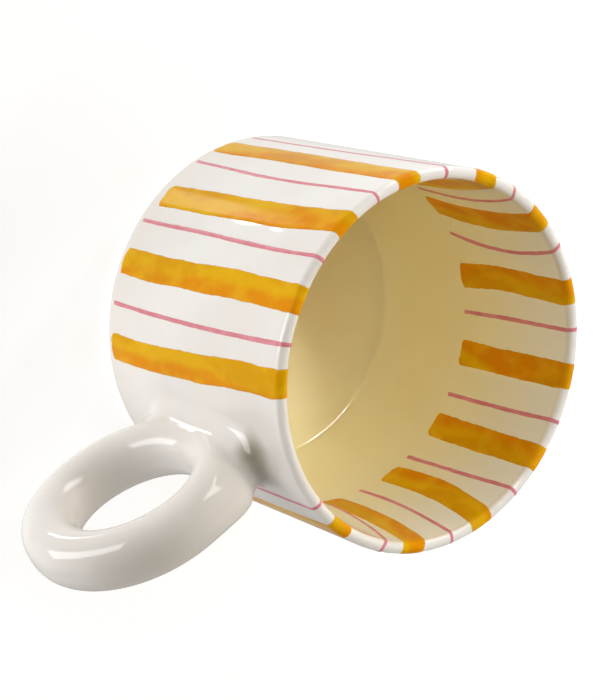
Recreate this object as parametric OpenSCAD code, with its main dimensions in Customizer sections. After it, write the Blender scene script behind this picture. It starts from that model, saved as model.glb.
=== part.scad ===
// Cylindrical ceramic mug with a ring handle and painted strokes that run over the lip.
// Millimetres, +Z up. The origin is the centre of the foot, at table level. The handle is on +X.
// A glaze coat is a layer of its own on the fired clay, and the brushwork is a thin layer on the glaze.

/* [Cup] */
// Outside diameter of the glazed wall
cup_d = 92; // [80:0.5:110]
// Height from the table to the top of the lip
cup_h = 73; // [62:0.5:100]
// Thickness of the wall with the glaze on both of its faces
wall_t = 3; // [2.4:0.1:4]
// Height of the glazed inside floor above the table
floor_h = 7; // [6.5:0.25:9]
// Distance by which the inside wall draws in on its way down to the floor
draw_in = 4.6; // [3:0.1:6]
// Distance from the ends of the brushwork down to where the wall starts to draw in
draw_gap = 0.5; // [0:0.1:2]
// Radius of the corner between the outside wall and the underside
heel_r = 2; // [1:0.25:2.75]
// Thickness of a glaze coat
glaze_t = 0.3; // [0.2:0.05:0.5]

/* [Foot] */
// Outside diameter of the bare ring of clay that the mug stands on
foot_d = 84; // [72:0.5:86]
// Width of that ring
foot_w = 4; // [2.5:0.25:7]
// Height of that ring below the glazed underside of the wall
foot_h = 0.75; // [0.5:0.05:1.25]
// Depth of the glazed recess inside that ring, from the table
recess_h = 2.5; // [1:0.1:3]

/* [Ring handle] */
// Diameter of the finger hole through the ring
finger_hole_d = 29.5; // [22:0.5:34]
// Thickness of the ring, seen through its hole
ring_t = 12.5; // [9:0.25:14]
// Width of the ring from side to side, never less than its thickness
ring_w = 14; // [14:0.25:18]
// Depth that the ring's outer edge would reach behind the face of the wall
ring_bite = 4; // [3:0.25:6]
// Height of the ring's centre above the middle of the cup
ring_lift = 3; // [-2:0.5:4]
// Height of the fillet of joining slip between the ring and the wall
slip_r = 5; // [3:0.25:6]

/* [Brushwork] */
// Number of broad ochre strokes, and of fine pink lines
stroke_count = 12; // [6:1:14]
// Number of strokes at the wide spacing, before the last ones close up
wide_count = 9; // [3:1:10]
// Spacing of the last strokes as a share of the wide spacing
close_up = 0.88; // [0.8:0.01:1]
// Angle round the cup between the last stroke and the first, with the handle in it
handle_gap_angle = 55; // [50:1:70]
// Angle from the handle to the first stroke
first_stroke_angle = 26.5; // [24:0.5:30]
// Angle by which each pink line comes before its ochre stroke
line_lead_angle = 13; // [10:0.5:14]
// Width of an ochre stroke
stroke_w = 7.25; // [4:0.25:9]
// Width of a pink line
line_w = 1.25; // [0.75:0.25:2]
// Height above the table at which the brushwork starts on the outside
paint_start = 4; // [4:0.25:12]
// Distance below the lip at which the brushwork ends on the inside
paint_reach = 38.5; // [20:0.5:44]
// Thickness of the paint
paint_t = 0.12; // [0.08:0.01:0.2]

/* [Hidden] */

$fn = 180;
spare = 1;              // how far a shape runs past what it cuts or joins
slip_steps = 3;         // steps that build up the fillet of slip

cup_r = cup_d / 2;
clay_r = cup_r - glaze_t;
bore_r = cup_r - wall_t;
lip_r = wall_t / 2;
lip_z = cup_h - lip_r;
foot_r = foot_d / 2;
recess_r = foot_r - foot_w;
draw_top = cup_h - paint_reach - draw_gap;
draw_curve = (pow(draw_in, 2) + pow(draw_top - floor_h, 2)) / (2 * draw_in);

ring_r = (finger_hole_d + ring_t) / 2;
ring_x = cup_r - ring_bite + ring_t / 2 + ring_r;
ring_z = cup_h / 2 + ring_lift;

close_count = stroke_count - min(wide_count, stroke_count);
wide_pitch = (360 - handle_gap_angle) / (stroke_count - 1 - close_count * (1 - close_up));

// Angle of stroke k round the cup, where k starts at 1. The last strokes stand closer together.
function stroke_angle(k) =
    first_stroke_angle + wide_pitch * (k - 1)
    - wide_pitch * (1 - close_up) * max(0, k - (stroke_count - close_count));

// Half profile of the outside of the cup, up to the middle of the lip, each face moved in by inset.
module outside_half(inset) {
    translate([0, foot_h + heel_r])
        square([cup_r - inset, lip_z - foot_h - heel_r]);
    translate([0, foot_h + inset])
        square([cup_r - heel_r, heel_r]);
    translate([cup_r - heel_r, foot_h + heel_r])
        circle(heel_r - inset);
}

// Half profile of the hollow of the cup, each face moved out by outset.
// The wall curves in towards the floor and meets it at a crisp corner.
module hollow_half(outset) {
    translate([0, draw_top])
        square([bore_r + outset, cup_h]);
    intersection() {
        translate([bore_r - draw_curve, draw_top])
            circle(draw_curve + outset);
        translate([0, floor_h - outset])
            square([bore_r + outset, draw_top - floor_h + outset + spare]);
    }
}

// Upper half of a round band on the lip, between two distances from the lip's centre line.
module lip_band(inner, outer) {
    translate([cup_r - lip_r, lip_z])
        intersection() {
            difference() {
                circle(outer);
                if (inner > 0) circle(inner);
            }
            translate([-outer - spare, 0])
                square([2 * (outer + spare), outer + spare]);
        }
}

module clay_cup() {
    color("tan")
        rotate_extrude() {
            difference() {
                outside_half(glaze_t);
                hollow_half(glaze_t);
                translate([0, -spare])
                    square([recess_r, spare + recess_h + glaze_t]);
            }
            lip_band(0, lip_r - glaze_t);
            translate([recess_r, 0])
                square([foot_w, foot_h + glaze_t + spare]);
        }
}

module outside_glaze() {
    color("whitesmoke")
        difference() {
            rotate_extrude() {
                difference() {
                    outside_half(0);
                    outside_half(glaze_t);
                    square([foot_r, foot_h + heel_r]);
                }
                lip_band(lip_r - glaze_t, lip_r);
            }
            ring(-glaze_t);
            slip_band(-glaze_t);
        }
}

module inside_glaze() {
    color("wheat")
        rotate_extrude()
            intersection() {
                difference() {
                    hollow_half(glaze_t);
                    hollow_half(0);
                }
                square([cup_r, lip_z]);
            }
}

module recess_glaze() {
    color("whitesmoke")
        translate([0, 0, recess_h])
            cylinder(h = glaze_t, r = recess_r);
}

// The whole ring, each face moved out by grow. Its section is a rectangle with two round ends.
module ring(grow) {
    translate([ring_x, 0, ring_z])
        rotate([90, 0, 0])
            rotate_extrude()
                translate([ring_r, 0]) {
                    for (side = [-1, 1])
                        translate([0, side * (ring_w - ring_t) / 2])
                            circle(ring_t / 2 + grow);
                    square([ring_t + 2 * grow, ring_w - ring_t], center = true);
                }
}

// The hollow fillet of slip round the ring's root, in steps, each face moved out by grow.
module slip_band(grow) {
    for (step = [1 : slip_steps]) {
        reach = slip_r * step / slip_steps;
        drop = slip_r * (1 - (step - 0.5) / slip_steps);
        width = slip_r - sqrt(slip_r * slip_r - drop * drop);
        intersection() {
            ring(width + grow);
            cylinder(h = cup_h, r = cup_r + reach + grow);
        }
    }
}

module handle_ring() {
    color("tan")
        difference() {
            ring(-glaze_t);
            cylinder(h = cup_h, r = clay_r);
        }
}

module joining_slip() {
    color("burlywood")
        difference() {
            slip_band(-glaze_t);
            ring(-glaze_t);
            cylinder(h = cup_h, r = clay_r);
        }
}

module handle_glaze() {
    color("whitesmoke")
        difference() {
            union() {
                ring(0);
                slip_band(0);
            }
            ring(-glaze_t);
            slip_band(-glaze_t);
            cylinder(h = cup_h, r = cup_r);
        }
}

// One band of paint, centred on +X, from near the foot over the lip and down the inside.
module brush_band(width) {
    sweep = 360 * width / (PI * cup_d);
    rotate([0, 0, -sweep / 2])
        rotate_extrude(angle = sweep) {
            translate([cup_r, paint_start])
                square([paint_t, lip_z - paint_start]);
            lip_band(lip_r, lip_r + paint_t);
            translate([bore_r - paint_t, cup_h - paint_reach])
                square([paint_t, paint_reach - lip_r]);
        }
}

module ochre_stroke(k) {
    color("goldenrod")
        rotate([0, 0, stroke_angle(k)])
            brush_band(stroke_w);
}

module pink_line(k) {
    color("palevioletred")
        rotate([0, 0, stroke_angle(k) - line_lead_angle])
            brush_band(line_w);
}

clay_cup();
outside_glaze();
inside_glaze();
recess_glaze();
handle_ring();
joining_slip();
handle_glaze();
for (k = [1 : stroke_count]) {
    ochre_stroke(k);
    pink_line(k);
}
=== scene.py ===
"""A straight-sided mug with a ring handle, in white and cream glaze with brush strokes over its lip.

Metres, in the CAD's frame: +Z up, the origin at the centre of the foot, the handle on +X.
The mug stands upright on the floor. The photograph shows it tipped, so the camera is rolled instead.
"""
import math

import bmesh
import bpy
import numpy as np
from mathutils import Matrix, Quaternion, Vector
from mathutils.bvhtree import BVHTree


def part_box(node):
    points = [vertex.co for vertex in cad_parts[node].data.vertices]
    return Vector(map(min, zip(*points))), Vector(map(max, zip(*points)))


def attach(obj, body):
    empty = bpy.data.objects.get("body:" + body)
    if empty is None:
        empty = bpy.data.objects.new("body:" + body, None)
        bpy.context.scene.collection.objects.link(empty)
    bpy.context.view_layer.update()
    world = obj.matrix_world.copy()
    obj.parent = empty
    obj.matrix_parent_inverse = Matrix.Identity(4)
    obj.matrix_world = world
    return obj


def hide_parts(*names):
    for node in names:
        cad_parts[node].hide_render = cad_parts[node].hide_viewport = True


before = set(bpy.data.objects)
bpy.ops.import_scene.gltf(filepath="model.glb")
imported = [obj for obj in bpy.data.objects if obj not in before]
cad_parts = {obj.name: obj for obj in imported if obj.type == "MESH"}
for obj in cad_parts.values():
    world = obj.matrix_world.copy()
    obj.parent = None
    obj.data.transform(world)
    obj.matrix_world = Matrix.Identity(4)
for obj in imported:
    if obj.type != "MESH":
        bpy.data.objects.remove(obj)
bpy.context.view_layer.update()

MM = 0.001

# -------- image points

PHOTO_W, PHOTO_H = 600, 700

# What shows where in the photograph. None where only the other coordinate is an edge.
POINTS = {
    "handle_left_edge": (21.3, None),
    "lip_right_edge": (578.1, None),
    "wall_top_edge": (None, 136.3),
    "handle_bottom_edge": (None, 591.0),
    "finger_hole_left": (79.4, None),
    "finger_hole_right": (189.8, None),
    "ochre_stroke_9_foot": (220.0, 145.0),
    "ochre_stroke_10_foot": (165.0, 195.0),
    "ochre_stroke_11_foot": (124.0, 260.0),
    "ochre_stroke_12_foot": (112.0, 345.0),
    "ochre_stroke_7_tip": (431.0, 204.0),
    "ochre_stroke_6_tip": (461.0, 275.0),
    "ochre_stroke_5_tip": (461.0, 352.0),
    "ochre_stroke_4_tip": (433.0, 424.0),
    "ochre_stroke_3_tip": (389.0, 473.0),
    "pink_line_7_tip": (450.3, 233.1),
    "pink_line_6_tip": (464.4, 311.3),
    "pink_line_5_tip": (448.1, 393.4),
    "pink_line_4_tip": (406.6, 457.5),
    "pink_line_3_tip": (359.7, 490.0),
}

# -------- camera

AIM = Vector((0.0093, -0.0006, 0.0311))
VIEW_AZIMUTH = math.radians(-47.48)
VIEW_ELEVATION = math.radians(51.06)
VIEW_DISTANCE = 0.4776
VIEW_ROLL = math.radians(107.16)
LENS = 99.26
SENSOR = 36.0


def make_camera():
    """The camera, rolled so that the upright mug shows tipped as it is in the photograph."""
    data = bpy.data.cameras.new("camera")
    data.lens = LENS
    data.sensor_width = SENSOR
    data.sensor_fit = "AUTO"
    data.clip_start = 0.01
    data.clip_end = 20
    camera = bpy.data.objects.new("camera", data)
    flat = math.cos(VIEW_ELEVATION)
    back = Vector((
        flat * math.cos(VIEW_AZIMUTH),
        flat * math.sin(VIEW_AZIMUTH),
        math.sin(VIEW_ELEVATION),
    ))
    camera.location = AIM + VIEW_DISTANCE * back
    camera.rotation_mode = "QUATERNION"
    level = back.to_track_quat("Z", "Y")
    camera.rotation_quaternion = level @ Quaternion((0, 0, 1), VIEW_ROLL)
    bpy.context.collection.objects.link(camera)
    bpy.context.scene.camera = camera
    bpy.context.view_layer.update()
    return camera


camera = make_camera()


def pixel_ray(x, y):
    """Start and direction, in the frame, of the sight line through a point of the photograph."""
    long_side = max(PHOTO_W, PHOTO_H)
    toward = Vector((
        x - PHOTO_W / 2,
        PHOTO_H / 2 - y,
        -long_side * LENS / SENSOR,
    ))
    place = camera.matrix_world
    return place.translation, (place.to_3x3() @ toward).normalized()


def pixels(places):
    """Where places in the frame show in the photograph, as an array of x and y."""
    long_side = max(PHOTO_W, PHOTO_H)
    into = np.array(camera.matrix_world.inverted())
    seen = places @ into[:3, :3].T + into[:3, 3]
    scale = long_side * LENS / SENSOR / -seen[:, 2]
    return np.stack([
        seen[:, 0] * scale + PHOTO_W / 2,
        PHOTO_H / 2 - seen[:, 1] * scale,
    ], axis=1)


# -------- sizes, read from the frame


# Heights closer than this are one height.
SAME_HEIGHT = 0.02 * MM
# From the ends of the brushwork down to where the wall starts to draw in.
DRAW_GAP = 0.5 * MM


def points_of(mesh):
    """The corner points of a mesh, as an array."""
    places = np.empty(len(mesh.vertices) * 3)
    mesh.vertices.foreach_get("co", places)
    return places.reshape(-1, 3)


def corners(node):
    """The corner points of a CAD node."""
    return points_of(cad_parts[node].data)


def radii(places):
    """Distances from the cup's axis."""
    return np.hypot(places[:, 0], places[:, 1])


def at_height(node, z):
    """Those corner points of a CAD node that lie at one height."""
    places = corners(node)
    return places[np.abs(places[:, 2] - z) < SAME_HEIGHT]


outside = corners("outside_glaze")
stroke = corners("ochre_stroke_1")
glaze_low, glaze_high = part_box("recess_glaze")
glaze_t = glaze_high.z - glaze_low.z
cup_r = radii(outside).max()
cup_h = outside[:, 2].max()
foot_h = outside[:, 2].min()
paint_t = radii(stroke).max() - cup_r
bore_r = radii(stroke).min() + paint_t
lip_r = (cup_r - bore_r) / 2
lip_z = cup_h - lip_r
floor_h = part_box("inside_glaze")[0].z + glaze_t
floor_r = radii(at_height("inside_glaze", floor_h)).max()
tip_z = stroke[radii(stroke) < cup_r - lip_r][:, 2].min()
draw_top = tip_z - DRAW_GAP
draw_in = bore_r - floor_r
draw_curve = (draw_in ** 2 + (draw_top - floor_h) ** 2) / (2 * draw_in)
heel_r = cup_r - radii(at_height("outside_glaze", foot_h)).max()
foot_r = radii(at_height("clay_cup", 0.0)).max()

ring_low, ring_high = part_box("handle_glaze")
ring_out = (ring_high.z - ring_low.z) / 2
ring_x = ring_high.x - ring_out
ring_z = (ring_high.z + ring_low.z) / 2
clay_ring = corners("handle_ring")
hole_r = np.hypot(clay_ring[:, 0] - ring_x, clay_ring[:, 2] - ring_z).min() - glaze_t
ring_r = (ring_out + hole_r) / 2
tube_r = (ring_out - hole_r) / 2
tube_flat = clay_ring[:, 1].max() + glaze_t - tube_r
fillet_r = radii(corners("joining_slip")).max() + glaze_t - cup_r

# -------- mesh helpers


# Points of a closed sheet that lie closer than this are one point.
MERGE = 0.0005 * MM
# Faces that meet at more than this angle keep a sharp edge between them.
SHARP = math.radians(50)


def mesh_object(name, places, faces):
    """A smooth-shaded object of points and faces."""
    mesh = bpy.data.meshes.new(name)
    mesh.from_pydata([tuple(p) for p in places], [], faces)
    mesh.validate()
    mesh.shade_smooth()
    piece = bpy.data.objects.new(name, mesh)
    bpy.context.collection.objects.link(piece)
    return piece


def close_and_face_out(piece):
    """Merge seams and poles, then turn every face outwards."""
    work = bmesh.new()
    work.from_mesh(piece.data)
    bmesh.ops.remove_doubles(work, verts=work.verts, dist=MERGE)
    bmesh.ops.recalc_face_normals(work, faces=work.faces)
    work.to_mesh(piece.data)
    work.free()
    piece.data.set_sharp_from_angle(angle=SHARP)


def quad_sheet(rows, columns, wrap_rows=False, wrap_columns=False):
    """Faces of a grid of points that is stored row by row."""
    faces = []
    for row in range(rows if wrap_rows else rows - 1):
        below = (row + 1) % rows
        for column in range(columns if wrap_columns else columns - 1):
            beside = (column + 1) % columns
            faces.append((
                row * columns + column,
                row * columns + beside,
                below * columns + beside,
                below * columns + column,
            ))
    return faces


def arc(centre_r, centre_z, radius, start, end, steps):
    """Points of a round stretch of outline. Angles are in degrees, 0 outwards and 90 up."""
    turn = np.radians(np.linspace(start, end, steps + 1))
    return [(centre_r + radius * math.cos(t), centre_z + radius * math.sin(t)) for t in turn]


def straight(start, end, pitch):
    """Points between two ends of a straight stretch of outline, without the ends."""
    steps = max(2, round(math.dist(start, end) / pitch))
    shares = np.arange(1, steps) / steps
    return [tuple((1 - s) * np.array(start) + s * np.array(end)) for s in shares]


def turned(name, outline, steps=288):
    """A closed piece turned about the cup's axis from a closed outline of (radius, height)."""
    outline = np.array(outline)
    angles = np.linspace(0, 2 * math.pi, steps, endpoint=False)
    places = np.stack([
        np.outer(np.cos(angles), outline[:, 0]),
        np.outer(np.sin(angles), outline[:, 0]),
        np.tile(outline[:, 1], (steps, 1)),
    ], axis=2).reshape(-1, 3)
    piece = mesh_object(name, places, quad_sheet(steps, len(outline), True, True))
    close_and_face_out(piece)
    return piece


# -------- the glaze coats

# Spacing of points on straight stretches, and steps along the round ones.
WALL_PITCH = 2.5 * MM
HEEL_STEPS = 10
LIP_STEPS = 28
DRAW_STEPS = 16
CORNER_STEPS = 8
# Radius of the crisp corner between the inside wall and the floor.
CORNER_R = 0.8 * MM


def outside_face(inset):
    """Outline of the outside, from the foot up the wall and over the lip, moved in by inset."""
    heel = arc(cup_r - heel_r, foot_h + heel_r, heel_r - inset, -90, 0, HEEL_STEPS)
    lip = arc(cup_r - lip_r, lip_z, lip_r - inset, 0, 180, LIP_STEPS)
    under = [(foot_r, foot_h + inset)]
    return under + heel + straight(heel[-1], lip[0], WALL_PITCH) + lip


def inside_face(outset):
    """Outline of the hollow: down the wall, drawing in to a crisp corner, and over the floor."""
    curve_r = bore_r - draw_curve
    corner_z = floor_h + CORNER_R
    corner_r = curve_r + math.sqrt((draw_curve - CORNER_R) ** 2 - (draw_top - corner_z) ** 2)
    turn = math.degrees(math.atan2(corner_z - draw_top, corner_r - curve_r))
    wall = arc(curve_r, draw_top, draw_curve + outset, 0, turn, DRAW_STEPS)
    corner = arc(corner_r, corner_z, CORNER_R + outset, turn, -90, CORNER_STEPS)
    top = [(bore_r + outset, lip_z)]
    middle = [(0.0, floor_h - outset)]
    return (
        top + straight(top[0], wall[0], WALL_PITCH) + wall + corner[1:]
        + straight(corner[-1], middle[0], WALL_PITCH) + middle
    )


def coat(name, face, depth):
    """A coat of glaze: its face, and its back depth further into the clay."""
    return turned(name, face(0.0) + face(depth)[::-1])


white_coat = coat("white_outside_glaze", outside_face, glaze_t)
cream_coat = coat("cream_inside_glaze", inside_face, glaze_t)

# -------- the ring handle and its fillet

ring_centre = np.array([ring_x, 0.0, ring_z])


def ring_spoke(turn):
    """Direction from the ring's centre at an angle round it, 0 towards the cup and 90 degrees up."""
    return np.stack([-np.cos(turn), np.zeros_like(turn), np.sin(turn)], axis=-1)


def tube_point(turn, side, radius):
    """A point of the tube: side is 0 on its outer rim, 90 degrees on its +Y flank."""
    across = radius * np.sin(side) + tube_flat * np.sign(np.sin(side))
    out = ring_r + radius * np.cos(side)
    return ring_centre + out[..., None] * ring_spoke(turn) + across[..., None] * np.array([0, 1, 0])


# Where the hand-formed ring stands proud of a true ring: turn, side, height, spreads of both.
SWELLS = (
    (50, 38, 2.0 * MM, 13, 42),
    (-146, -42, 0.55 * MM, 18, 45),
)
# The swells fade out over this distance towards the wall.
SWELL_FADE = 9 * MM


def hand_formed(places):
    """Points of the ring or its fillet, moved out from the tube's centre line by the swells."""
    off = places - ring_centre
    turn = np.degrees(np.arctan2(off[:, 2], -off[:, 0]))
    out = np.hypot(off[:, 0], off[:, 2]) - ring_r
    core = ring_centre + ring_r * ring_spoke(np.radians(turn))
    side = np.degrees(np.arctan2(off[:, 1], out))
    rise = np.zeros(len(places))
    for at_turn, at_side, height, turn_spread, side_spread in SWELLS:
        far = ((turn - at_turn + 180) % 360 - 180) / turn_spread
        aside = ((side - at_side + 180) % 360 - 180) / side_spread
        rise += height * np.exp(-(far ** 2 + aside ** 2) / 2)
    clear = np.clip((radii(places) - cup_r) / SWELL_FADE, 0, 1)
    rise *= clear * clear * (3 - 2 * clear)
    away = places - core
    return places + rise[:, None] * away / np.linalg.norm(away, axis=1)[:, None]


def make_ring(around=224, section=72):
    """The glazed ring, as a whole tube. Its inner end lies within the wall."""
    turn = np.linspace(0, 2 * math.pi, around, endpoint=False)[:, None]
    side = (np.arange(section) + 0.5)[None, :] / section * 2 * math.pi
    turn, side = np.broadcast_arrays(turn, side)
    places = hand_formed(tube_point(turn, side, tube_r).reshape(-1, 3))
    piece = mesh_object("handle_ring_glaze", places, quad_sheet(around, section, True, True))
    close_and_face_out(piece)
    return piece


def halve(low, high, is_low, steps=50):
    """Close in on where is_low turns false, between two arrays of values."""
    for _ in range(steps):
        middle = (low + high) / 2
        below = is_low(middle)
        low = np.where(below, middle, low)
        high = np.where(below, high, middle)
    return (low + high) / 2


# An angle too small to matter, which keeps searches and square roots off their very ends.
HAIR = 1e-9
# How far the fillet's hidden root is drawn in towards the ring's inner end.
ROOT_PULL = 0.35


def make_fillet(around=256, across=20):
    """The hollow fillet that a ball leaves when it rolls round the ring's root, on ring and wall."""
    ball_track = tube_r + fillet_r
    reach = cup_r + fillet_r

    def inside_track(turn, side):
        centre = tube_point(turn, side, ball_track)
        return np.hypot(centre[..., 0], centre[..., 1]) < reach

    flat = np.full(1, HAIR)
    last_turn = halve(np.zeros(1), np.full(1, math.pi / 2), lambda t: inside_track(t, flat))
    lap = np.linspace(0, 2 * math.pi, around, endpoint=False)
    turn = last_turn * np.cos(lap) * (1 - HAIR)
    side = halve(np.full(around, HAIR), np.full(around, math.pi), lambda s: inside_track(turn, s))
    side = np.where(np.sin(lap) < 0, -side, side)
    ball = tube_point(turn, side, ball_track)
    on_ring = tube_point(turn, side, tube_r)
    on_wall = ball.copy()
    on_wall[:, :2] *= cup_r / reach
    from_wall = (on_wall - ball) / fillet_r
    from_ring = (on_ring - ball) / fillet_r
    angle = np.arccos(np.clip((from_wall * from_ring).sum(1), -1, 1))
    share = np.linspace(0, 1, across)[None, :, None]
    angle = angle[:, None, None]
    sweep = (
        np.sin((1 - share) * angle) * from_wall[:, None] + np.sin(share * angle) * from_ring[:, None]
    ) / np.sin(angle)
    face = ball[:, None] + fillet_r * sweep
    root = on_wall.copy()
    root[:, :2] *= (cup_r - lip_r) / cup_r
    root += ROOT_PULL * (ring_centre + np.array([-ring_r, 0, 0]) - root)
    places = hand_formed(np.concatenate([face, root[:, None]], axis=1).reshape(-1, 3))
    piece = mesh_object("handle_fillet_glaze", places, quad_sheet(around, across + 1, True, True))
    close_and_face_out(piece)
    return piece


ring_piece = make_ring()
fillet_piece = make_fillet()

# -------- node helpers


def socket_in(tree, name, kind, value=None):
    """A named input of a node group."""
    socket = tree.interface.new_socket(name=name, in_out="INPUT", socket_type=kind)
    if value is not None:
        socket.default_value = value


def put(tree, kind, **settings):
    """A new node with its settings."""
    node = tree.nodes.new(kind)
    for key, value in settings.items():
        setattr(node, key, value)
    return node


def feed(tree, socket, value):
    """Link a socket, or set its own value where value is a constant."""
    if isinstance(value, bpy.types.NodeSocket):
        tree.links.new(value, socket)
    else:
        socket.default_value = value


def math_on(tree, operation, *values):
    """The result of arithmetic on sockets and constants."""
    node = put(tree, "ShaderNodeMath", operation=operation)
    for socket, value in zip(node.inputs, values):
        feed(tree, socket, value)
    return node.outputs[0]


def vector_on(tree, operation, *values):
    """The result of vector arithmetic on sockets and constants."""
    node = put(tree, "ShaderNodeVectorMath", operation=operation)
    for socket, value in zip(node.inputs, values):
        feed(tree, socket, value)
    return node.outputs[0]


def length_of(tree, vector):
    """The length of a vector."""
    node = put(tree, "ShaderNodeVectorMath", operation="LENGTH")
    feed(tree, node.inputs[0], vector)
    return node.outputs["Value"]


def joined(tree, x, y, z):
    """A vector of three sockets or constants."""
    node = put(tree, "ShaderNodeCombineXYZ")
    for socket, value in zip(node.inputs, (x, y, z)):
        feed(tree, socket, value)
    return node.outputs[0]


def parted(tree, vector):
    """The x, y and z sockets of a vector."""
    node = put(tree, "ShaderNodeSeparateXYZ")
    feed(tree, node.inputs[0], vector)
    return node.outputs


def ranged(tree, value, low, high, to_low=0.0, to_high=1.0, shape="SMOOTHSTEP"):
    """A value carried over from the range low to high, to the range to_low to to_high."""
    node = put(tree, "ShaderNodeMapRange", interpolation_type=shape)
    for name, entry in (
        ("Value", value),
        ("From Min", low),
        ("From Max", high),
        ("To Min", to_low),
        ("To Max", to_high),
    ):
        feed(tree, node.inputs[name], entry)
    return node.outputs["Result"]


def noise(tree, vector, scale, detail=2.0, roughness=0.5):
    """Cloudy chance about 0.5."""
    node = put(tree, "ShaderNodeTexNoise", noise_dimensions="3D")
    feed(tree, node.inputs["Vector"], vector)
    node.inputs["Scale"].default_value = scale
    node.inputs["Detail"].default_value = detail
    node.inputs["Roughness"].default_value = roughness
    return node.outputs[0]


# -------- brush strokes

# How much closer the rows stand at a stroke's ends, and how square its ends are.
CROWDING = 0.6
END_POWER = 3.2
# How ragged the ends are as a share of the width, and how much of that cuts in.
RAGGED = 0.16
RAGGED_CUT = 0.3
# Depth of a stroke's hidden back below the glaze, and the distance at which its sheets weld.
SUNK = -0.03 * MM
WELD = 0.0002 * MM


def brush_tree():
    """Paint one brush stroke along a path that runs up the wall, over the lip and down inside."""
    tree = bpy.data.node_groups.new("brush_stroke_over_the_lip", "GeometryNodeTree")
    tree.is_modifier = True
    socket_in(tree, "path", "NodeSocketGeometry")
    for name, value in (
        ("azimuth", 0.0),
        ("foot lean", 0.0),
        ("tip lean", 0.0),
        ("foot bow", 0.0),
        ("tip bow", 0.0),
        ("foot length", 0.0),
        ("rim length", 0.07),
        ("tip length", 0.1),
        ("width", 0.007),
        ("end roundness", 0.002),
        ("paint thickness", 0.0001),
        ("edge softness", 0.0005),
        ("wander", 0.0004),
        ("edge wobble", 0.05),
        ("seed", 0.0),
    ):
        socket_in(tree, name, "NodeSocketFloat", value)
    socket_in(tree, "rows", "NodeSocketInt", 240)
    socket_in(tree, "columns", "NodeSocketInt", 13)
    socket_in(tree, "paint", "NodeSocketMaterial")
    tree.interface.new_socket(name="stroke", in_out="OUTPUT", socket_type="NodeSocketGeometry")
    given = put(tree, "NodeGroupInput").outputs
    path = put(tree, "GeometryNodeMeshToCurve")
    feed(tree, path.inputs["Mesh"], given["path"])

    grid = put(tree, "GeometryNodeMeshGrid")
    grid.inputs["Size X"].default_value = 1.0
    grid.inputs["Size Y"].default_value = 2.0
    feed(tree, grid.inputs["Vertices X"], given["rows"])
    feed(tree, grid.inputs["Vertices Y"], given["columns"])

    def m(operation, *values):
        return math_on(tree, operation, *values)

    # along runs 0 to 1 from foot to tip, across -1 to 1, both closer together at the edges.
    flat_x, flat_y, _ = parted(tree, put(tree, "GeometryNodeInputPosition").outputs[0])
    even = m("ADD", flat_x, 0.5)
    crowd = m("MULTIPLY", m("SINE", m("MULTIPLY", even, 2 * math.pi)), CROWDING / (2 * math.pi))
    along = m("SUBTRACT", even, crowd)
    across = m("SINE", m("MULTIPLY", flat_y, math.pi / 2))
    off_centre = m("ABSOLUTE", across)
    bow = m("MAXIMUM", m("SUBTRACT", 1.0, m("POWER", off_centre, END_POWER)), 0.0)
    bow = m("POWER", bow, 1 / END_POWER)
    hold_back = m("MULTIPLY", m("SUBTRACT", 1.0, bow), given["end roundness"])

    def jitter(offset, run, scale, detail=2.0):
        """Smooth chance from -1 to 1 that changes with run, the same for the same seed."""
        place = joined(tree, m("MULTIPLY", run, scale), m("MULTIPLY", given["seed"], 7.31), offset)
        return m("MULTIPLY", m("SUBTRACT", noise(tree, place, 1.0, detail), 0.5), 2.0)

    ragged = m("MULTIPLY", given["width"], RAGGED)
    foot_run = m("ADD", m("ADD", given["foot length"], hold_back), m(
        "MULTIPLY", m("SUBTRACT", jitter(31.0, across, 1.3), RAGGED_CUT), ragged))
    tip_run = m("SUBTRACT", m("SUBTRACT", given["tip length"], hold_back), m(
        "MULTIPLY", m("SUBTRACT", jitter(47.0, across, 1.3), RAGGED_CUT), ragged))
    run = m("ADD", foot_run, m("MULTIPLY", along, m("SUBTRACT", tip_run, foot_run)))

    # Half the width on this side, with a wavering edge.
    side = m("MULTIPLY", m("SIGN", across), 5.0)
    waver = m("ADD", m("MULTIPLY", jitter(side, run, 70.0), 2.0), jitter(m(
        "ADD", side, 11.0), run, 420.0))
    half = m("MULTIPLY", m("MULTIPLY", given["width"], 0.5), m(
        "ADD", 1.0, m("MULTIPLY", waver, given["edge wobble"])))
    shift = m("MULTIPLY", jitter(71.0, run, 28.0, 0.0), given["wander"])
    aside = m("ADD", m("MULTIPLY", across, half), shift)

    foot_share = m("DIVIDE", m("SUBTRACT", given["rim length"], run), m(
        "SUBTRACT", given["rim length"], given["foot length"]))
    tip_share = m("DIVIDE", m("SUBTRACT", run, given["rim length"]), m(
        "SUBTRACT", given["tip length"], given["rim length"]))

    def bent(share, lean, bow):
        """Turn that grows along one half of the stroke, with a bow that is most halfway."""
        share = m("MAXIMUM", share, 0.0)
        arch = m("MULTIPLY", m("MULTIPLY", share, m("SUBTRACT", 1.0, share)), 4.0)
        return m("ADD", m("MULTIPLY", share, lean), m("MULTIPLY", arch, bow))

    lean = m("ADD", bent(foot_share, given["foot lean"], given["foot bow"]), bent(
        tip_share, given["tip lean"], given["tip bow"]))

    on_path = put(tree, "GeometryNodeSampleCurve", mode="LENGTH")
    feed(tree, on_path.inputs["Curves"], path.outputs[0])
    feed(tree, on_path.inputs["Length"], run)
    place = on_path.outputs["Position"]
    out = vector_on(tree, "CROSS_PRODUCT", (0.0, 1.0, 0.0), on_path.outputs["Tangent"])
    turn = m("ADD", m("ADD", given["azimuth"], lean), m("DIVIDE", aside, parted(tree, place)[0]))

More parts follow.
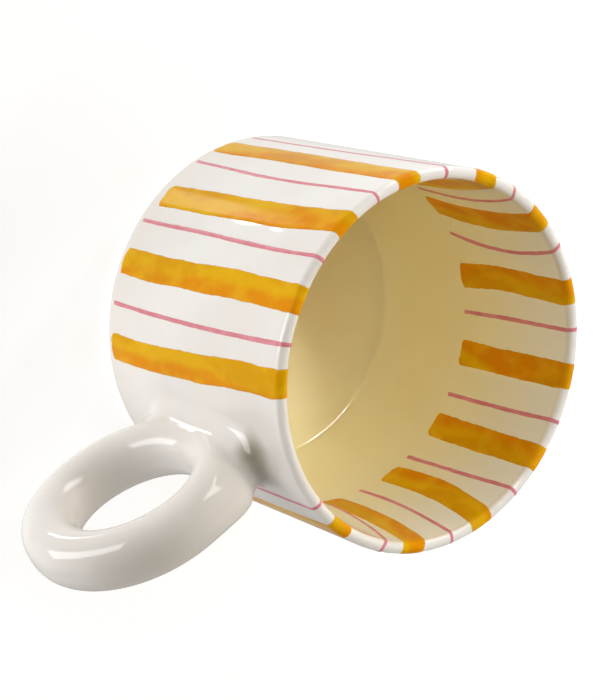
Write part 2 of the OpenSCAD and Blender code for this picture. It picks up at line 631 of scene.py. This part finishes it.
    def laid(height):
        lifted = put(tree, "ShaderNodeVectorMath", operation="SCALE")
        feed(tree, lifted.inputs[0], out)
        feed(tree, lifted.inputs["Scale"], height)
        spin = put(tree, "ShaderNodeVectorRotate", rotation_type="Z_AXIS")
        feed(tree, spin.inputs["Vector"], vector_on(tree, "ADD", place, lifted.outputs[0]))
        feed(tree, spin.inputs["Angle"], turn)
        return spin.outputs[0]

    edge = m("MULTIPLY", m("SUBTRACT", 1.0, off_centre), half)
    edge = m("MINIMUM", edge, m("SUBTRACT", run, foot_run))
    edge = m("MINIMUM", edge, m("SUBTRACT", tip_run, run))
    relief = ranged(tree, edge, 0.0, given["edge softness"], SUNK, given["paint thickness"])

    mapped = put(tree, "GeometryNodeStoreNamedAttribute", data_type="FLOAT2", domain="CORNER")
    mapped.inputs["Name"].default_value = "UVMap"
    feed(tree, mapped.inputs["Geometry"], grid.outputs["Mesh"])
    feed(tree, mapped.inputs["Value"], joined(
        tree,
        m("ADD", m("MULTIPLY", run, 10.0), m("MULTIPLY", given["seed"], 3.7)),
        m("MULTIPLY", m("ADD", across, 1.0), 0.5),
        0.0,
    ))

    sheets = put(tree, "GeometryNodeJoinGeometry")
    for height, turned_over in ((relief, True), (SUNK, False)):
        sheet = mapped.outputs[0]
        if turned_over:
            flip = put(tree, "GeometryNodeFlipFaces")
            feed(tree, flip.inputs[0], sheet)
            sheet = flip.outputs[0]
        moved = put(tree, "GeometryNodeSetPosition")
        feed(tree, moved.inputs["Geometry"], sheet)
        feed(tree, moved.inputs["Position"], laid(height))
        tree.links.new(moved.outputs[0], sheets.inputs[0])
    welded = put(tree, "GeometryNodeMergeByDistance")
    feed(tree, welded.inputs["Geometry"], sheets.outputs[0])
    welded.inputs["Distance"].default_value = WELD
    smooth = put(tree, "GeometryNodeSetShadeSmooth")
    feed(tree, smooth.inputs[0], welded.outputs[0])
    real = put(tree, "GeometryNodeRealizeInstances")
    feed(tree, real.inputs[0], smooth.outputs[0])
    painted = put(tree, "GeometryNodeSetMaterial")
    feed(tree, painted.inputs["Geometry"], real.outputs[0])
    feed(tree, painted.inputs["Material"], given["paint"])
    feed(tree, put(tree, "NodeGroupOutput").inputs[0], painted.outputs[0])
    return tree


BRUSH = brush_tree()
WALL_FOOT_Z = foot_h + heel_r
UP_WALL = lip_z - WALL_FOOT_Z
OVER_LIP = math.pi * lip_r
RIM_LENGTH = UP_WALL + OVER_LIP / 2
PATH_LIP_STEPS = 40
# How far the path follows the drawn-in wall, in degrees, and its steps there.
PATH_DRAW_TURN = -8
PATH_DRAW_STEPS = 8


def brush_path():
    """The line that a stroke follows: up the wall from the heel, over the lip, down the bore."""
    line = [(cup_r, WALL_FOOT_Z)] + arc(cup_r - lip_r, lip_z, lip_r, 0, 180, PATH_LIP_STEPS)
    line += arc(bore_r - draw_curve, draw_top, draw_curve, 0, PATH_DRAW_TURN, PATH_DRAW_STEPS)
    mesh = bpy.data.meshes.new("brush_path")
    mesh.from_pydata([(r, 0.0, z) for r, z in line], [(i, i + 1) for i in range(len(line) - 1)], [])
    return mesh


def brushed(name, paint, **inputs):
    """One stroke as a plain closed mesh."""
    holder = bpy.data.objects.new(name + "_path", brush_path())
    bpy.context.collection.objects.link(holder)
    modifier = holder.modifiers.new("brush", "NODES")
    modifier.node_group = BRUSH
    wanted = dict(inputs, paint=paint)
    for item in BRUSH.interface.items_tree:
        key = item.name.replace(" ", "_")
        if item.in_out == "INPUT" and key in wanted:
            modifier[item.identifier] = wanted[key]
    sight = bpy.context.evaluated_depsgraph_get()
    mesh = bpy.data.meshes.new_from_object(
        holder.evaluated_get(sight), preserve_all_data_layers=True, depsgraph=sight)
    piece = bpy.data.objects.new(name, mesh)
    mesh.name = name
    bpy.context.collection.objects.link(piece)
    bpy.data.objects.remove(holder)
    close_and_face_out(piece)
    return piece


def tree_of(*pieces):
    """A BVH tree of pieces as finished."""
    work = bmesh.new()
    for piece in pieces:
        work.from_mesh(piece.data)
    made = BVHTree.FromBMesh(work)
    work.free()
    return made


# Where the nearest approach of a sight line is looked for, as shares of the camera's distance.
NEAR_SHARE = 0.7
SHARE_SPAN = 0.6
SIGHT_STEPS = 400


def on_surface(carrier, point):
    """Where the sight line through an image point meets the carrier, or comes nearest to it."""
    start, toward = pixel_ray(*point)
    hit = carrier.ray_cast(start, toward)[0]
    if hit is not None:
        return hit
    shares = [NEAR_SHARE + SHARE_SPAN * i / SIGHT_STEPS for i in range(SIGHT_STEPS + 1)]
    steps = [start + toward * (VIEW_DISTANCE * share) for share in shares]
    near = min((carrier.find_nearest(step) for step in steps), key=lambda found: found[3])
    return near[0]


def azimuth_of(node):
    """The azimuth of the middle of a CAD stroke."""
    centre = corners(node).mean(axis=0)
    return math.atan2(centre[1], centre[0])


def wrapped(angle):
    """An angle brought to between minus and plus half a turn."""
    return (angle + math.pi) % (2 * math.pi) - math.pi


# -------- finishes


def finish_material(name, level=0.5, tint=(1.0, 1.0, 1.0)):
    """A new material, its shader, and its Object or UV coordinates."""
    material = bpy.data.materials.new(name)
    material.use_nodes = True
    tree = material.node_tree
    shader = tree.nodes["Principled BSDF"]
    shader.inputs["IOR"].default_value = 1.5
    shader.inputs["Specular IOR Level"].default_value = level
    shader.inputs["Specular Tint"].default_value = (*tint, 1.0)
    coordinates = put(tree, "ShaderNodeTexCoord").outputs
    return material, tree, shader, coordinates


def blended(tree, share, first, second):
    """A colour between two colours, each of them a colour or a socket."""
    node = put(tree, "ShaderNodeMix", data_type="RGBA")
    feed(tree, node.inputs["Factor"], share)
    for socket, colour in ((node.inputs[6], first), (node.inputs[7], second)):
        feed(tree, socket, (*colour, 1.0) if isinstance(colour, tuple) else colour)
    return node.outputs[2]


def bumped(tree, shader, *layers):
    """Feed the shader's normal from layers of (height socket, depth in metres)."""
    normal = None
    for height, depth in layers:
        node = put(tree, "ShaderNodeBump")
        node.inputs["Distance"].default_value = depth
        feed(tree, node.inputs["Height"], height)
        if normal is not None:
            feed(tree, node.inputs["Normal"], normal)
        normal = node.outputs[0]
    feed(tree, shader.inputs["Normal"], normal)


def skin(tree, shader, place, roughness, wave_depth, peel_scale, peel_depth):
    """A dipped, hand-thrown skin: patchy roughness, slow waves, and a fine orange peel."""
    patch = noise(tree, place, 160.0, 2.0)
    feed(tree, shader.inputs["Roughness"], ranged(tree, patch, 0.3, 0.7, *roughness))
    stretched = vector_on(tree, "MULTIPLY", place, (1.0, 1.0, 0.6))
    waves = noise(tree, stretched, 62.0, 1.5, 0.45)
    peel = noise(tree, place, peel_scale, 1.0)
    bumped(tree, shader, (waves, wave_depth), (peel, peel_depth))


# The white glaze is warmer below this height.
WARM_BELOW = 30 * MM
# The white glaze turns creamy from this share of the lip's radius inwards.
CREAMY_FROM = 1.6
# Painted shade and dark reflection: a dark patch in the glaze colour, high in the crevice between the
# ring and the wall.
PAINTED_JOINT_SHADE = (cup_r + 1.3 * MM, -4.2 * MM, ring_z + 21.2 * MM)
PAINTED_JOINT_SHADE_SPREAD = (4.6 * MM, 8.5 * MM, 5.6 * MM)


def white_glaze():
    """Glossy white, warmer near the foot, creamy inside the lip, with painted shade in the crevice of
    the joint.
    """
    material, tree, shader, coordinates = finish_material("white_tin_glaze")
    place = coordinates["Object"]
    x, y, z = parted(tree, place)
    thick = noise(tree, place, 26.0, 3.0, 0.55)
    colour = blended(tree, ranged(tree, thick, 0.35, 0.65), (0.82, 0.79, 0.755), (0.87, 0.855, 0.835))
    low = ranged(tree, z, WARM_BELOW, 0.0, 0.0, 0.6)
    colour = blended(tree, low, colour, (0.80, 0.755, 0.70))
    from_axis = length_of(tree, joined(tree, x, y, 0.0))
    creamy_r = float(cup_r - CREAMY_FROM * lip_r)
    inner = ranged(tree, from_axis, creamy_r, float(bore_r), 0.0, 0.75)
    colour = blended(tree, inner, colour, (0.80, 0.74, 0.58))
    # Painted shade: the colour darkens to grey-brown around a point high in the joint's crevice.
    from_joint = vector_on(tree, "SUBTRACT", place, PAINTED_JOINT_SHADE)
    away = length_of(tree, vector_on(tree, "DIVIDE", from_joint, PAINTED_JOINT_SHADE_SPREAD))
    painted_shade = ranged(tree, away, 0.1, 1.0, 0.85, 0.0)
    colour = blended(tree, painted_shade, colour, (0.26, 0.22, 0.15))
    feed(tree, shader.inputs["Base Color"], colour)
    skin(tree, shader, place, (0.015, 0.05), 0.55 * MM, 900.0, 0.0012 * MM)
    return material


def cream_glaze():
    """Glossy cream, paler near the lip and darker, deeper yellow towards the floor; the darkening
    with depth is partly painted shade.
    """
    material, tree, shader, coordinates = finish_material("cream_liner_glaze")
    place = coordinates["Object"]
    z = parted(tree, place)[2]
    pooled = noise(tree, place, 30.0, 3.0, 0.55)
    # Painted shade in part: the colour grows darker and more yellow with depth, where the hollow of
    # the cup is in shade.
    height = math_on(tree, "ADD", z, math_on(tree, "MULTIPLY", pooled, 0.006))
    deep = blended(tree, ranged(tree, pooled, 0.35, 0.65), (0.875, 0.775, 0.45), (0.905, 0.825, 0.50))
    middle = blended(tree, ranged(tree, height, 0.024, 0.054), deep, (0.90, 0.85, 0.62))
    colour = blended(tree, ranged(tree, height, 0.046, 0.072), middle, (0.90, 0.89, 0.80))
    feed(tree, shader.inputs["Base Color"], colour)
    skin(tree, shader, place, (0.02, 0.06), 0.30 * MM, 800.0, 0.0015 * MM)
    return material


def bare_clay():
    """Matt buff clay with dark specks and turning marks."""
    material, tree, shader, coordinates = finish_material("bare_fired_clay", level=0.3)
    place = coordinates["Object"]
    cloud = noise(tree, place, 90.0, 4.0, 0.6)
    colour = blended(tree, ranged(tree, cloud, 0.3, 0.7), (0.56, 0.46, 0.34), (0.68, 0.59, 0.46))
    speck = noise(tree, place, 2600.0, 1.0)
    colour = blended(tree, ranged(tree, speck, 0.68, 0.76, 0.0, 0.7), colour, (0.30, 0.20, 0.12))
    feed(tree, shader.inputs["Base Color"], colour)
    feed(tree, shader.inputs["Roughness"], ranged(tree, cloud, 0.2, 0.8, 0.72, 0.92))
    grain = noise(tree, place, 3200.0, 3.0, 0.6)
    turning = put(tree, "ShaderNodeTexWave", wave_type="RINGS", rings_direction="Z")
    feed(tree, turning.inputs["Vector"], place)
    turning.inputs["Scale"].default_value = 260.0
    turning.inputs["Distortion"].default_value = 1.2
    bumped(tree, shader, (turning.outputs["Fac"], 0.02 * MM), (grain, 0.03 * MM))
    return material


def ochre_paint():
    """Watery ochre: an orange pass beside a yellow one, amber where they pool and at the edges."""
    material, tree, shader, coordinates = finish_material(
        "ochre_brush_paint", level=0.05, tint=(1.0, 0.8, 0.45))
    along, across, _ = parted(tree, coordinates["UV"])

    def m(operation, *values):
        return math_on(tree, operation, *values)

    def drift(scale, offset, detail=2.0):
        return noise(tree, joined(tree, m("MULTIPLY", along, scale), offset, 0.0), 1.0, detail)

    # The orange pass covers one side. Its border swings slowly across the width.
    swing = m("MULTIPLY", m("SUBTRACT", drift(2.3, 3.0, 0.0), 0.5), 3.0)
    ripple = m("MULTIPLY", m("SUBTRACT", drift(11.0, 23.0), 0.5), 0.30)
    border = m("ADD", m("ADD", m("SUBTRACT", across, 0.5), swing), ripple)
    orange = ranged(tree, border, -0.18, 0.18)
    colour = blended(tree, orange, (0.77, 0.42, 0.003), (0.76, 0.272, 0.001))
    second = m("ADD", m("MULTIPLY", m("SUBTRACT", 0.5, across), 0.7), m(
        "MULTIPLY", m("SUBTRACT", drift(2.9, 19.0, 0.0), 0.50), 2.6))
    amber = ranged(tree, second, 0.05, 0.30, 0.0, 0.6)
    colour = blended(tree, amber, colour, (0.68, 0.30, 0.001))
    cells = noise(tree, joined(tree, m("MULTIPLY", along, 12.0), m(
        "MULTIPLY", across, 1.2), 5.0), 1.0, 3.0, 0.5)
    colour = blended(tree, ranged(tree, cells, 0.42, 0.68, 0.0, 0.45), colour, (0.84, 0.52, 0.015))
    off_centre = m("MULTIPLY", m("ABSOLUTE", m("SUBTRACT", across, 0.5)), 2.0)
    rim = ranged(tree, off_centre, 0.82, 0.97, 0.0, 0.5)
    colour = blended(tree, rim, colour, (0.64, 0.27, 0.001))
    feed(tree, shader.inputs["Base Color"], colour)
    feed(tree, shader.inputs["Roughness"], ranged(tree, cells, 0.3, 0.7, 0.08, 0.16))
    hairs = noise(tree, joined(tree, m("MULTIPLY", along, 8.0), m(
        "MULTIPLY", across, 22.0), 9.0), 1.0, 2.0)
    bumped(tree, shader, (cells, 0.02 * MM), (hairs, 0.006 * MM))
    return material


def pink_paint():
    """Pink, paler where the brush carried less."""
    material, tree, shader, coordinates = finish_material("pink_liner_paint", level=0.2)
    along, across, _ = parted(tree, coordinates["UV"])
    load = noise(tree, joined(tree, math_on(tree, "MULTIPLY", along, 22.0), math_on(
        tree, "MULTIPLY", across, 0.6), 2.0), 1.0, 3.0, 0.6)
    colour = blended(tree, ranged(tree, load, 0.3, 0.7), (0.66, 0.20, 0.25), (0.74, 0.28, 0.33))
    feed(tree, shader.inputs["Base Color"], colour)
    feed(tree, shader.inputs["Roughness"], ranged(tree, load, 0.3, 0.7, 0.08, 0.16))
    bumped(tree, shader, (load, 0.02 * MM))
    return material


WHITE = white_glaze()
CREAM = cream_glaze()
CLAY = bare_clay()
OCHRE = ochre_paint()
PINK = pink_paint()

# -------- laying the strokes

white_face = tree_of(white_coat)
cream_face = tree_of(cream_coat)
STROKE_COUNT = 12
STROKE_W = 7.25 * MM
LINE_W = 1.25 * MM
# Paint stands this share of its CAD thickness proud of the glaze.
PAINT_SHARE = 0.8
# A stroke starts at least this far up from the heel.
LEAST_FOOT = 0.3 * MM
# Where a stroke ends that has no image point, in degrees from its azimuth at the rim, and in height.
USUAL_FOOT_LEAN = 3.4
USUAL_TIP_LEAN = 0.4
USUAL_FOOT_Z = 3.6 * MM
USUAL_TIP_Z = 34.5 * MM
# The pink lines draw their chance from seeds above this one.
LINE_SEED = 20.0

# How the painter's hand strayed, in degrees: at the rim, halfway down outside, halfway down inside.
STRAYS = {
    "ochre_stroke_1": (-2.0, 0.0, 0.0),
    "ochre_stroke_2": (0.0, 0.0, 3.0),
    "ochre_stroke_3": (0.0, 0.0, 2.0),
    "ochre_stroke_6": (0.0, 0.0, 1.0),
    "ochre_stroke_7": (0.5, 0.0, -3.4),
    "ochre_stroke_8": (-1.0, -2.0, -3.8),
    "ochre_stroke_9": (0.0, 0.5, 0.0),
    "ochre_stroke_10": (0.5, 1.0, 0.0),
    "ochre_stroke_11": (1.0, 0.5, 0.0),
    "ochre_stroke_12": (0.5, 0.8, 0.0),
    "pink_line_1": (-1.0, -1.5, 0.0),
    "pink_line_2": (1.0, 0.0, 4.0),
    "pink_line_3": (0.5, 0.0, 2.0),
    "pink_line_5": (-1.8, 0.0, 0.0),
    "pink_line_7": (0.5, 0.0, -3.5),
    "pink_line_8": (-0.8, 0.0, -4.7),
    "pink_line_9": (-1.0, 1.0, 0.0),
    "pink_line_10": (0.5, 1.5, 0.0),
    "pink_line_11": (1.2, 0.8, 0.0),
    "pink_line_12": (1.9, 1.0, 0.0),
}
# Strokes that turn further than usual towards an end that the photograph hides: foot, tip.
FAR_TURNS = {
    "ochre_stroke_1": (7.0, 0.4),
    "ochre_stroke_2": (3.4, 7.0),
    "ochre_stroke_8": (-6.0, -12.2),
    "pink_line_1": (6.0, 0.4),
    "pink_line_2": (3.4, 16.0),
    "pink_line_8": (3.4, -6.7),
    "pink_line_9": (6.0, 0.4),
    "pink_line_10": (1.5, 0.4),
    "pink_line_11": (1.6, 0.4),
    "pink_line_12": (3.0, 0.4),
}


def stroke_end(face, point, rim_azimuth, usual_lean, usual_z):
    """Lean and height of a stroke's end, from its image point where it has one."""
    if point is None:
        return math.radians(usual_lean), usual_z
    place = on_surface(face, point)
    return wrapped(math.atan2(place.y, place.x) - rim_azimuth), place.z


def lay(kind, number, paint, **brush):
    """Lay one stroke where its CAD node lies, with its ends on its image points."""
    name = f"{kind}_{number}"
    at_rim, foot_bow, tip_bow = STRAYS.get(name, (0.0, 0.0, 0.0))
    usual_foot, usual_tip = FAR_TURNS.get(name, (USUAL_FOOT_LEAN, USUAL_TIP_LEAN))
    azimuth = azimuth_of(name) + math.radians(at_rim)
    foot_lean, foot_z = stroke_end(
        white_face, POINTS.get(name + "_foot"), azimuth, usual_foot, USUAL_FOOT_Z)
    tip_lean, tip_z = stroke_end(
        cream_face, POINTS.get(name + "_tip"), azimuth, usual_tip, USUAL_TIP_Z)
    piece = brushed(
        "painted_" + name,
        paint,
        azimuth=azimuth,
        foot_lean=foot_lean,
        tip_lean=tip_lean,
        foot_bow=math.radians(foot_bow),
        tip_bow=math.radians(tip_bow),
        foot_length=max(foot_z - WALL_FOOT_Z, LEAST_FOOT),
        rim_length=float(RIM_LENGTH),
        tip_length=float(UP_WALL + OVER_LIP + lip_z - tip_z),
        paint_thickness=float(PAINT_SHARE * paint_t),
        **brush,
    )
    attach(piece, "root")
    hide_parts(name)
    return piece


strokes = {}
for number in range(1, STROKE_COUNT + 1):
    strokes[f"ochre_stroke_{number}"] = lay(
        "ochre_stroke", number, OCHRE, width=STROKE_W, end_roundness=2.2 * MM,
        edge_softness=0.7 * MM, wander=0.8 * MM, edge_wobble=0.07, seed=float(number), columns=17)
    strokes[f"pink_line_{number}"] = lay(
        "pink_line", number, PINK, width=LINE_W, end_roundness=0.5 * MM,
        edge_softness=0.3 * MM, wander=0.6 * MM, edge_wobble=0.22, seed=LINE_SEED + number, columns=9)

for piece, material, node in (
    (white_coat, WHITE, "outside_glaze"),
    (cream_coat, CREAM, "inside_glaze"),
    (ring_piece, WHITE, "handle_glaze"),
    (fillet_piece, WHITE, "joining_slip"),
):
    piece.data.materials.append(material)
    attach(piece, "root")
    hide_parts(node)

for node, material in (("clay_cup", CLAY), ("handle_ring", CLAY), ("recess_glaze", WHITE)):
    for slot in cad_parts[node].material_slots:
        slot.material = material

# -------- light and floor


FLOOR_HALF = 3.0
FLOOR_GREY = 0.40
FLOOR_GLOW = 0.775
# The floor is whole up to the first distance from the mug, and gone from the second on.
FLOOR_WHOLE = 0.5
FLOOR_GONE = 1.3


def make_floor():
    """A pale floor that catches the cup's shadow, and hides nothing of the tent of light from it.

    Far away, and from below, it can be seen through, so that no edge of it shows.
    """
    mesh = bpy.data.meshes.new("floor")
    signs = ((-1, -1), (1, -1), (1, 1), (-1, 1))
    mesh.from_pydata([(FLOOR_HALF * x, FLOOR_HALF * y, 0) for x, y in signs], [], [(0, 1, 2, 3)])
    floor = bpy.data.objects.new("floor", mesh)
    bpy.context.collection.objects.link(floor)
    material = bpy.data.materials.new("white_floor")
    material.use_nodes = True
    tree = material.node_tree
    tree.nodes.clear()
    matt = put(tree, "ShaderNodeBsdfDiffuse")
    matt.inputs["Color"].default_value = (FLOOR_GREY, FLOOR_GREY, FLOOR_GREY, 1.0)
    glow = put(tree, "ShaderNodeEmission")
    glow.inputs["Strength"].default_value = FLOOR_GLOW
    both = put(tree, "ShaderNodeAddShader")
    feed(tree, both.inputs[0], matt.outputs[0])
    feed(tree, both.inputs[1], glow.outputs[0])
    away = length_of(tree, put(tree, "ShaderNodeTexCoord").outputs["Object"])
    faded = ranged(tree, away, FLOOR_WHOLE, FLOOR_GONE)
    below = put(tree, "ShaderNodeNewGeometry").outputs["Backfacing"]
    shown = put(tree, "ShaderNodeMixShader")
    feed(tree, shown.inputs["Fac"], math_on(tree, "MAXIMUM", faded, below))
    feed(tree, shown.inputs[1], both.outputs[0])
    feed(tree, shown.inputs[2], put(tree, "ShaderNodeBsdfTransparent").outputs[0])
    feed(tree, put(tree, "ShaderNodeOutputMaterial").inputs["Surface"], shown.outputs[0])
    mesh.materials.append(material)
    floor.visible_diffuse = False
    floor.visible_glossy = False
    floor.visible_transmission = False
    floor.visible_shadow = False


PLAIN_WHITE = (1.0, 1.0, 1.0)
WARM_WHITE = (1.0, 0.985, 0.965)
WARM = (1.0, 0.93, 0.82)


def make_world(above, below, far_share):
    """A white tent: brightest below, dimmer overhead and towards +Y, plain white where looked at."""
    world = bpy.data.worlds.new("white_tent")
    world.use_nodes = True
    tree = world.node_tree
    tree.nodes.clear()
    ray = put(tree, "ShaderNodeLightPath").outputs
    looked_at = math_on(tree, "MAXIMUM", ray["Is Camera Ray"], ray["Is Transmission Ray"])
    _, far, height = parted(tree, put(tree, "ShaderNodeTexCoord").outputs["Generated"])
    tent = ranged(tree, height, -0.30, 0.50, below, above)
    tent = math_on(tree, "MULTIPLY", tent, ranged(tree, far, -0.1, 0.75, 1.0, far_share))
    sky = put(tree, "ShaderNodeBackground")
    glow = blended(tree, ranged(tree, height, -0.30, 0.30), WARM_WHITE, WARM)
    feed(tree, sky.inputs["Color"], blended(tree, looked_at, glow, PLAIN_WHITE))
    feed(tree, sky.inputs["Strength"], ranged(tree, looked_at, 0.0, 1.0, tent, 1.0, "LINEAR"))
    feed(tree, put(tree, "ShaderNodeOutputWorld").inputs["Surface"], sky.outputs[0])
    bpy.context.scene.world = world


def away_from(place, azimuth, elevation, distance):
    """A point at a distance from a place, and the direction to it."""
    azimuth = math.radians(azimuth)
    elevation = math.radians(elevation)
    away = Vector((
        math.cos(elevation) * math.cos(azimuth),
        math.cos(elevation) * math.sin(azimuth),
        math.sin(elevation),
    ))
    return place + distance * away, away


def hang(name, data, place, azimuth, elevation, distance, roll=0.0):
    """Put up a lamp that faces a place and can't be looked at, rolled clockwise as seen there."""
    lamp = bpy.data.objects.new(name, data)
    lamp.location, away = away_from(place, azimuth, elevation, distance)
    lamp.rotation_mode = "QUATERNION"
    facing = away.to_track_quat("Z", "Y")
    lamp.rotation_quaternion = facing @ Quaternion((0, 0, 1), math.radians(roll))
    lamp.visible_camera = False
    bpy.context.collection.objects.link(lamp)
    return lamp


def make_box(
        name, azimuth, elevation, wide, high, radiance, roll=0.0, colour=PLAIN_WHITE, distance=1.2):
    """A lamp that faces the cup. Its width and height are given in degrees as the cup sees it."""
    data = bpy.data.lights.new(name, "AREA")
    data.shape = "RECTANGLE"
    data.size = 2 * distance * math.tan(math.radians(wide / 2))
    data.size_y = 2 * distance * math.tan(math.radians(high / 2))
    data.energy = radiance * math.pi * data.size * data.size_y
    data.color = colour
    return hang(name, data, AIM, azimuth, elevation, distance, roll)


def soft_box(*where, **size):
    """A box that lights the glaze and doesn't show in it."""
    make_box(*where, **size).visible_glossy = False


def window(*where, **size):
    """A box that shows in the glaze and is hidden from diffuse rays."""
    make_box(*where, **size).visible_diffuse = False


# Distance of the small lamps from what they face.
SMALL_LAMP_DISTANCE = 0.4
# Softness of a snoot's edge, and radius of the lamp in it.
SNOOT_BLEND = 0.6
SNOOT_LAMP_R = 0.045


def mouth_lamp(name, azimuth, elevation, energy, reach):
    """A soft lamp with a snoot, whose light falls into the cup's mouth, on a share of its bore."""
    data = bpy.data.lights.new(name, "SPOT")
    data.energy = energy
    data.spot_size = 2 * math.atan(reach * float(bore_r) / SMALL_LAMP_DISTANCE)
    data.spot_blend = SNOOT_BLEND
    data.shadow_soft_size = SNOOT_LAMP_R
    mouth = Vector((0, 0, float(cup_h)))
    hang(name, data, mouth, azimuth, elevation, SMALL_LAMP_DISTANCE).visible_glossy = False


# Where round the floor the crease's highlight has its middle, and the lamps that make it.
CREASE_AZIMUTH = 97
CREASE_WINDOW_ELEVATION = 51
CREASE_WINDOW_D = 0.08
CREASE_WINDOW_SPREAD = math.radians(14)
CREASE_WINDOW_STRENGTH = 0.55


def crease_window(name, azimuth):
    """A small, narrow window aimed at the crisp corner round the inside floor."""
    middle = Vector((0, 0, float(floor_h)))
    crease, _ = away_from(middle, CREASE_AZIMUTH, 0, float(floor_r))
    data = bpy.data.lights.new(name, "AREA")
    data.shape = "DISK"
    data.size = CREASE_WINDOW_D
    data.energy = CREASE_WINDOW_STRENGTH * math.pi * math.pi * (data.size / 2) ** 2
    data.spread = CREASE_WINDOW_SPREAD
    lamp = hang(name, data, crease, azimuth, CREASE_WINDOW_ELEVATION, SMALL_LAMP_DISTANCE)
    lamp.visible_diffuse = False


make_floor()
make_world(above=0.30, below=1.05, far_share=0.38)
# Azimuth and elevation, width and height, all in degrees, then radiance.
soft_box("key_box", -45, -18, 28, 20, 4.4)
soft_box("side_box", -155, 14, 34, 34, 1.9)
soft_box("back_box", 145, 46, 44, 36, 3.2, colour=WARM)
soft_box("far_box", 22, -14, 40, 30, 1.6)
window("tall_window", -43, -14, 21, 60, 5.0, roll=26)
window("end_window", -146, 14, 34, 38, 5.0)
window("low_window", -103, -53, 8, 5, 6.0)
# Azimuth and elevation in degrees, energy in watts, and the share of the bore that is lit.
mouth_lamp("mouth_lamp_side", -160, 57, 4.0, 0.9)
for azimuth in (-104, -122, -140):
    mouth_lamp(f"mouth_lamp_front_{-azimuth}", azimuth, 49, 0.8, 0.8)
for azimuth in (-108, -123, -138):
    crease_window(f"crease_window_{-azimuth}", azimuth)
mouth_lamp("mouth_lamp_near", -50, 55, 2.0, 0.7)
mouth_lamp("mouth_lamp_back", 120, 60, 2.2, 0.8)

# -------- where the image points show on the finished pieces

# Turn between two searches for the hole's edge, in degrees, and their pace, in pixels.
HOLE_TURN = 3
HOLE_PACE = 0.5
# A stroke's points lie this close to the glaze or proud of it, and this close to its very end.
ON_WALL = 0.01 * MM
END_STRETCH = 0.5 * MM


def hole_edges():
    """The lowest and highest x at which sight lines pass through the finger hole."""
    carrier = tree_of(ring_piece, fillet_piece, white_coat)
    middle = pixels(ring_centre[None, :])[0]

    def open_at(x, y):
        start, toward = pixel_ray(x, y)
        return carrier.ray_cast(start, toward)[0] is None

    found = []
    for turn in np.radians(np.arange(0, 360, HOLE_TURN)):
        reach = 0.0
        while open_at(middle[0] + reach * math.cos(turn), middle[1] + reach * math.sin(turn)):
            reach += HOLE_PACE
        found.append(middle[0] + reach * math.cos(turn))
    return min(found), max(found)


def end_pixel(piece, foot):
    """Where the middle of a stroke's foot or tip shows."""
    places = points_of(piece.data)
    reach = radii(places)
    wall = places[reach > cup_r - ON_WALL] if foot else places[reach < bore_r + ON_WALL]
    last = wall[wall[:, 2] < wall[:, 2].min() + END_STRETCH]
    return pixels(last.mean(axis=0)[None, :])[0]


def shown_points():
    """Where each of the image points shows on the finished pieces."""
    pieces = (white_coat, ring_piece, fillet_piece, *strokes.values())
    seen = pixels(np.concatenate([points_of(piece.data) for piece in pieces]))
    hole = hole_edges()
    shown = {
        "handle_left_edge": (seen[:, 0].min(), None),
        "lip_right_edge": (seen[:, 0].max(), None),
        "wall_top_edge": (None, seen[:, 1].min()),
        "handle_bottom_edge": (None, seen[:, 1].max()),
        "finger_hole_left": (hole[0], None),
        "finger_hole_right": (hole[1], None),
    }
    for name in POINTS:
        if name.endswith(("_foot", "_tip")):
            stroke_name, end = name.rsplit("_", 1)
            shown[name] = tuple(end_pixel(strokes[stroke_name], end == "foot"))
    return shown


def write_points():
    """Work out where each image point shows on the finished pieces; nothing is written."""
    for name, at in shown_points().items():
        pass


bpy.context.scene.view_settings.view_transform = "Standard"
write_points()
